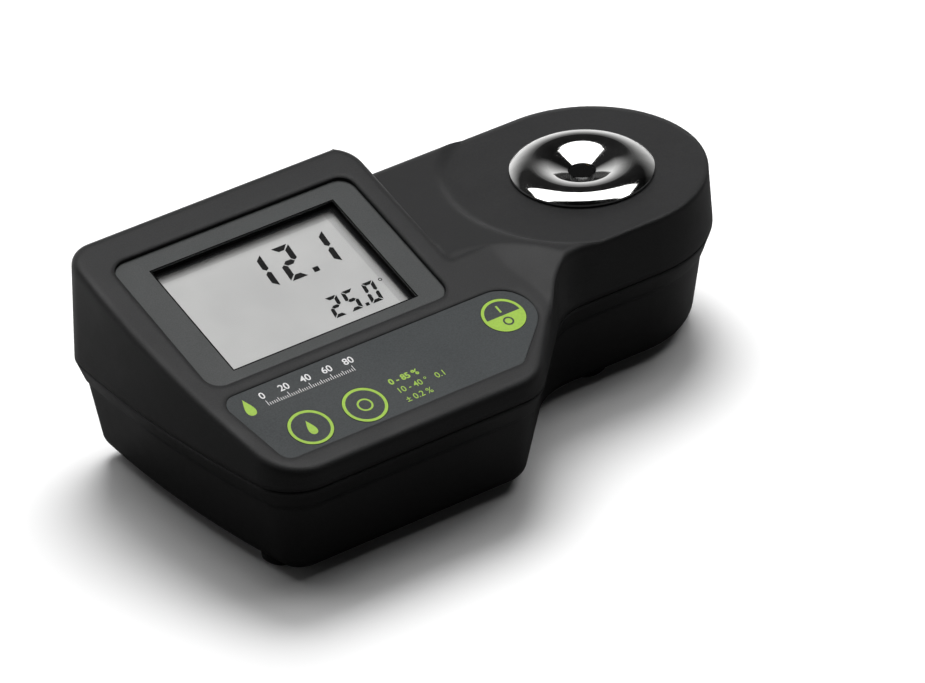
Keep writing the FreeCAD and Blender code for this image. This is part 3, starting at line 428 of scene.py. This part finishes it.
pane = (pane_low[0], pane_high[0], pane_low[1], pane_high[1])
opening = shrunk(pane, PANE_LAP, PANE_LAP)
print_and_shade_black, tree, shader, output = new_material("print_and_shade_black")
tree.links.new(graded(tree, speckle(tree, 0.0005), (0.003, 0.003, 0.003), (0.006, 0.006, 0.006)),
               shader.inputs["Base Color"])
shader.inputs["Roughness"].default_value = 0.8
shader.inputs["Specular IOR Level"].default_value = 0.05
panel_frame("display_border", shrunk(pane, 0.2 * MM, 0.2 * MM),
            shrunk(opening, BORDER_SIDE, BORDER_END),
            pane_low[2] - 0.06 * MM, pane_low[2] - 0.02 * MM, print_and_shade_black)
# Painted shade: a black strip round the window's edge on the bezel's face.
panel_frame("window_shade_line", shrunk(opening, -SHADE_LINE_WIDTH, -SHADE_LINE_WIDTH), opening,
            bezel_top + 0.005 * MM, bezel_top + 0.025 * MM, print_and_shade_black)

# ---------------------------------------------------------------- liquid crystal glass
# A grey reflective display.  Black seven-bar figures lie just on its face: a large
# reading with one decimal place, and a small temperature below it.


def display_material():
    """Grey, with a painted shadow of the bezel along its top and right edges."""
    material, tree, shader, output = new_material("display_grey")
    cloud = speckle(tree, 0.02, 2.0)
    tone = graded(tree, cloud, (0.395, 0.395, 0.392), (0.435, 0.435, 0.43))
    high = panel_extent("lcd_glass")[1]
    # Painted shadow: the colour drops to 0.8 in bands along the top and right edges, where the
    # bezel's shadow falls.
    for direction, start in ((up_slope, high[1] - 6.4 * MM),
                             (Vector((1, 0, 0)), high[0] - 6.6 * MM)):
        across = add(tree, "VectorMath", operation="DOT_PRODUCT")
        across.inputs[1].default_value = direction
        tree.links.new(here(tree), across.inputs[0])
        shade = ranged(tree, across.outputs["Value"], start, start + 0.5 * MM, 1.0, 0.8)
        tint = add(tree, "VectorMath", operation="SCALE")
        tree.links.new(tone, tint.inputs[0])
        tree.links.new(shade.outputs["Result"], tint.inputs["Scale"])
        tone = tint.outputs["Vector"]
    tree.links.new(tone, shader.inputs["Base Color"])
    shader.inputs["Roughness"].default_value = 0.4
    shader.inputs["Specular IOR Level"].default_value = 0.2
    roughen(tree, shader, speckle(tree, 0.0002), 0.1, 0.00001)
    return material


display_grey = display_material()
dress(("lcd_glass", "lcd_reflector"), display_grey)

glass_low, glass_high = panel_extent("lcd_glass")


def display_ink():
    """The matt black of a lit bar."""
    material, tree, shader, output = new_material("display_black")
    colour = graded(tree, speckle(tree, 0.0003), (0.004, 0.004, 0.004), (0.009, 0.009, 0.009))
    tree.links.new(colour, shader.inputs["Base Color"])
    shader.inputs["Roughness"].default_value = 0.9
    shader.inputs["Specular IOR Level"].default_value = 0.0
    return material


# The bars lit in each figure: a is the top one, b to f go on clockwise, g is the middle one.
LIT = {"0": "abcdef", "1": "bc", "2": "abged", "5": "afgcd"}


def bar_outline(kind, width, height, bar, gap):
    """One of the seven bars of a figure that stands on (0, 0), as closed points."""
    half = bar / 2
    middle = height / 2
    if kind in "adg":
        level = {"a": height - half, "d": half, "g": middle}[kind]
        left, right_end = gap + half, width - gap - half
        if kind == "g":
            return [(left, level), (left + half, level + half), (right_end - half, level + half),
                    (right_end, level), (right_end - half, level - half),
                    (left + half, level - half)]
        side = 1 if kind == "a" else -1
        return [(left - half * 0.8, level + side * half),
                (right_end + half * 0.8, level + side * half),
                (right_end - half, level - side * half), (left + half, level - side * half)]
    x = half if kind in "ef" else width - half
    side = -1 if kind in "ef" else 1
    low, high = (gap + half, middle - gap) if kind in "ce" else (middle + gap, height - gap - half)
    if kind in "ce":
        return [(x + side * half, low - half * 0.8), (x + side * half, high - half * 0.6),
                (x, high), (x - side * half, high - half), (x - side * half, low + half)]
    return [(x, low), (x + side * half, low + half * 0.6), (x + side * half, high + half * 0.8),
            (x - side * half, high - half), (x - side * half, low + half)]


def figures(text, corner, width, height, bar, pitch, lean, dot_room):
    """Outlines for a row of seven-bar figures from the lower left corner (x, s)."""
    found = []
    column = corner[0]
    for sign in text:
        if sign == ".":
            x = column - pitch + width + (pitch - width + dot_room) * 0.35
            found.append([(x + a * bar + b * bar * lean, corner[1] + b * bar)
                          for a, b in ((0, 0), (1, 0), (1, 1), (0, 1))])
            column += dot_room
            continue
        for kind in LIT[sign]:
            points = bar_outline(kind, width, height, bar, bar * 0.12)
            found.append([(column + x + y * lean, corner[1] + y) for x, y in points])
        column += pitch
    return found


glass_right = glass_high[0]
glass_base = glass_low[1]
large = figures("12.1", (glass_right - 38.2 * MM, glass_base + 26.6 * MM), 5.9 * MM, 13.3 * MM,
                1.85 * MM, 9.45 * MM, 0.09, 1.8 * MM)
small = figures("25.0", (glass_right - 25.8 * MM, glass_base + 8.7 * MM), 3.9 * MM, 7.9 * MM,
                1.15 * MM, 5.4 * MM, 0.16, 1.4 * MM)
DEGREE_PARTS = 12
DEGREE_STEP = 0.5236
DEGREE_SPAN = 0.53
degree_x = glass_right - 6.4 * MM
degree_s = glass_base + 15.7 * MM
degree = []
for part in range(DEGREE_PARTS):
    start = DEGREE_STEP * part
    end = start + DEGREE_SPAN
    degree.append([(degree_x + radius * math.cos(turn) * MM,
                    degree_s + radius * math.sin(turn) * MM)
                   for radius, turn in ((0.35, start), (0.6, start), (0.6, end), (0.35, end))])
lcd_black = display_ink()
printed("display_figures", large + small + degree, glass_high[2] + 0.01 * MM,
        lcd_black, "root")

# ---------------------------------------------------------------- keypad film and keys
# A slate grey polyester film with three round keys in it.  Each key has a green ring
# and a mark of its own, which go down with it.
film_grey = moulded_plastic("film_grey", (0.021, 0.0245, 0.026), (0.032, 0.0365, 0.038),
                            0.00045, (0.38, 0.48), 0.3, 0.00002)
dress(("keypad_overlay",), film_grey)
KEYS = {"key_read": "read_key", "key_zero": "zero_key", "key_on_off": "on_off_key"}
dress(KEYS, film_grey)


def ink(name, colour):
    """Opaque colour, a little lighter in specks."""
    material, tree, shader, output = new_material(name)
    light = tuple(min(1, part * 1.12) for part in colour)
    tree.links.new(graded(tree, speckle(tree, 0.0006), colour, light),
                   shader.inputs["Base Color"])
    shader.inputs["Roughness"].default_value = 0.4
    return material


key_green = ink("key_green", (0.25, 0.41, 0.035))
print_white = ink("print_white", (0.6, 0.6, 0.6))


def ring_print(name, centre, outer, inner, level, material, body, steps=96):
    """Flat ring of ink in one closed mesh."""
    vertices = []
    for index in range(steps):
        angle = 2 * math.pi * index / steps
        for radius, lift in ((inner, 0), (outer, 0), (outer, INK_THICK), (inner, INK_THICK)):
            vertices.append(panel_point(centre[0] + radius * math.cos(angle),
                                        centre[1] + radius * math.sin(angle), level + lift))
    faces = []
    for index in range(steps):
        start = index * 4
        following = (index + 1) % steps * 4
        for side in range(4):
            other = (side + 1) % 4
            faces.append((start + side, start + other, following + other, following + side))
    link_mesh(name, vertices, faces, material, body)


KEY_RING = 0.93 * MM
key_centre = {}
for key, body in KEYS.items():
    low, high = panel_extent(key)
    centre = ((low[0] + high[0]) / 2, (low[1] + high[1]) / 2)
    key_centre[key] = (*centre, high[2])
    radius = (high[0] - low[0]) / 2
    ring_print(key + "_ring", centre, radius - 0.03 * MM, radius - KEY_RING, high[2],
               key_green, body)


def drop_outline(centre, size, steps=40):
    """Outline of a drop that stands on its round end."""
    outline = []
    for index in range(steps):
        turn = 2 * math.pi * index / steps
        pull = math.sin(turn / 2) ** 1.6
        outline.append((centre[0] + size * 0.62 * math.sin(turn) * pull,
                        centre[1] + size * math.cos(turn) * 0.95))
    return outline


def lower_half(centre, radius, steps=64):
    """Outline of the lower half of a disc."""
    turns = [math.pi + math.pi * index / steps for index in range(steps + 1)]
    return [(centre[0] + radius * math.cos(turn), centre[1] + radius * math.sin(turn))
            for turn in turns]


x, along, top = key_centre["key_read"]
printed("read_mark", [drop_outline((x, along), 2.9 * MM)], top, key_green,
        "read_key")
x, along, top = key_centre["key_zero"]
ring_print("zero_mark", (x, along), 2.3 * MM, 1.75 * MM, top, key_green, "zero_key")
x, along, top = key_centre["key_on_off"]
printed("off_field", [lower_half((x, along), 5.5 * MM)], top,
        key_green, "on_off_key")
bar = [(x - 0.3 * MM, along + 1.2 * MM), (x + 0.3 * MM, along + 1.2 * MM),
       (x + 0.3 * MM, along + 3.9 * MM), (x - 0.3 * MM, along + 3.9 * MM)]
printed("on_mark", [bar], top, key_green, "on_off_key")
ring_print("off_mark", (x, along - 2.5 * MM), 1.6 * MM, 1.05 * MM, top + INK_THICK,
           film_grey, "on_off_key")

# ---------------------------------------------------------------- prints on the keypad film
# Screen-printed ink on the film: a scale of white strokes with plain numbers, a green
# drop at its left, and three green lines of measuring ranges.
film_low, film_high = panel_extent("keypad_overlay")
FILM_TOP = film_high[2] + 0.005 * MM


def lettering(name, text, size, corner, material, weight=0.0):
    """Ink figures on the film; size is the height of a figure."""
    curve = bpy.data.curves.new(name, "FONT")
    curve.body = text
    curve.size = size / 0.7
    curve.extrude = INK_THICK / 2
    curve.offset = weight
    holder = bpy.data.objects.new(name, curve)
    scene.collection.objects.link(holder)
    bpy.context.view_layer.update()
    mesh = bpy.data.meshes.new_from_object(holder)
    bpy.data.objects.remove(holder)
    for vertex in mesh.vertices:
        x, y, z = vertex.co
        vertex.co = panel_point(corner[0] + x, corner[1] + y, FILM_TOP + z + INK_THICK / 2)
    mesh.materials.clear()
    mesh.materials.append(material)
    piece = bpy.data.objects.new(name, mesh)
    scene.collection.objects.link(piece)
    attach(piece, "root")


scale_left = key_centre["key_read"][0] - 5.4 * MM
scale_base = film_low[1] + 19.6 * MM
STROKE_PITCH = 0.7 * MM
STROKE_HALF = 0.09 * MM
strokes = []
for index in range(41):
    x = scale_left + index * STROKE_PITCH
    tall = (2.0 if index % 10 == 0 else 1.5 if index % 5 == 0 else 1.0) * MM
    strokes.append([(x - STROKE_HALF, scale_base), (x + STROKE_HALF, scale_base),
                    (x + STROKE_HALF, scale_base + tall), (x - STROKE_HALF, scale_base + tall)])
printed("scale_strokes", strokes, FILM_TOP, print_white, "root")
for index, text in enumerate(("0", "20", "40", "60", "80")):
    shift = (0.75 if len(text) == 1 else 1.5) * MM
    lettering("scale_" + text, text, 2.3 * MM,
              (scale_left + index * 10 * STROKE_PITCH - shift, scale_base + 2.9 * MM),
              print_white, 0.04 * MM)
printed("drop_mark", [drop_outline((scale_left - 5.6 * MM, scale_base + 2.0 * MM), 3.4 * MM)],
        FILM_TOP, key_green, "root")

lines_left = key_centre["key_zero"][0] + 10.4 * MM
row = key_centre["key_zero"][1]
lettering("range_line", "0 - 85 %", 2.0 * MM, (lines_left, row + 2.9 * MM), key_green, 0.09 * MM)
lettering("warmth_line", "10 - 40 \u00b0   0.1", 2.0 * MM, (lines_left + 0.2 * MM, row - 0.9 * MM),
          key_green, 0.01 * MM)
lettering("error_line", "\u00b1 0.2 %", 2.0 * MM, (lines_left + 0.6 * MM, row - 4.7 * MM),
          key_green, 0.01 * MM)

# ---------------------------------------------------------------- sample ring
# Stainless steel ring, turned and polished to a mirror, with faint marks of wear.
# It stands on a thin gasket and is clamped by a nut inside the case.


def polished_steel():
    material, tree, shader, output = new_material("polished_steel")
    wear = speckle(tree, 0.004, 4.0)
    tree.links.new(graded(tree, wear, (0.70, 0.70, 0.69), (0.78, 0.78, 0.77)),
                   shader.inputs["Base Color"])
    shader.inputs["Metallic"].default_value = 1.0
    tree.links.new(spread(tree, wear, 0.05, 0.1), shader.inputs["Roughness"])
    return material


dress(("sample_ring",), polished_steel())

# ---------------------------------------------------------------- prism and lens
# Dense optical glass, slightly green, ground and polished.  The prism closes the hole
# of the ring, and the lens stands in the optics block below it.


def optical_glass():
    material, tree, shader, output = new_material("optical_glass")
    tree.links.new(graded(tree, speckle(tree, 0.005), (0.8, 0.86, 0.84), (0.9, 0.93, 0.92)),
                   shader.inputs["Base Color"])
    shader.inputs["Roughness"].default_value = 0.02
    shader.inputs["IOR"].default_value = 1.62
    shader.inputs["Transmission Weight"].default_value = 1.0
    return material


dress(("prism", "lens"), optical_glass())

# ---------------------------------------------------------------- boards and electronics
# Green boards with faint tracks, black mouldings such as the chips and the optics block,
# and white ones such as the sockets.  They are screwed inside the case.


def board_material():
    material, tree, shader, output = new_material("board_green")
    tracks = add(tree, "TexBrick", Scale=180.0, Color1=(0.010, 0.10, 0.035, 1),
                 Color2=(0.008, 0.085, 0.03, 1), Mortar=(0.03, 0.17, 0.06, 1))
    tree.links.new(here(tree), tracks.inputs["Vector"])
    tree.links.new(tracks.outputs["Color"], shader.inputs["Base Color"])
    shader.inputs["Roughness"].default_value = 0.35
    return material


dress(("main_board", "keypad_board", "led_board", "sensor_board"), board_material())
chip_black = moulded_plastic("chip_black", (0.012, 0.012, 0.012), (0.02, 0.02, 0.02), 0.0002,
                             (0.4, 0.5))
dress(("board_chips", "image_sensor", "thermistor", "optics_block", "battery_snap"), chip_black)
socket_white = moulded_plastic("socket_white", (0.6, 0.6, 0.57), (0.68, 0.68, 0.65), 0.0003,
                               (0.4, 0.5))
dress(("lcd_holder", "power_socket", "keypad_spacer"), socket_white)

# ---------------------------------------------------------------- screws, nut, domes, terminals
# Zinc-plated steel, brighter and duller in fine grains: all the screws, the nut under
# the ring, the keys' snap domes and the battery's terminals.


def plain_steel():
    material, tree, shader, output = new_material("zinc_steel")
    grain = speckle(tree, 0.0005, 3.0)
    tree.links.new(graded(tree, grain, (0.45, 0.45, 0.44), (0.6, 0.6, 0.58)),
                   shader.inputs["Base Color"])
    shader.inputs["Metallic"].default_value = 1.0
    tree.links.new(spread(tree, grain, 0.25, 0.4), shader.inputs["Roughness"])
    return material


dress(("board_screws", "optics_screws", "case_screws", "ring_nut", "snap_domes",
       "battery_terminals"), plain_steel())

# ---------------------------------------------------------------- lamp, leads and battery
# Small parts inside the case: an amber lamp, the amber tail of the keypad, red leads,
# and the printed sleeve of the battery.
dress(("led",), ink("lamp_amber", (0.75, 0.35, 0.03)))
dress(("keypad_tail",), ink("film_amber", (0.35, 0.16, 0.02)))
dress(("battery_leads",), ink("lead_red", (0.45, 0.02, 0.02)))
dress(("battery",), moulded_plastic("battery_sleeve", (0.02, 0.022, 0.026),
                                    (0.03, 0.032, 0.036), 0.0006, (0.25, 0.35)))
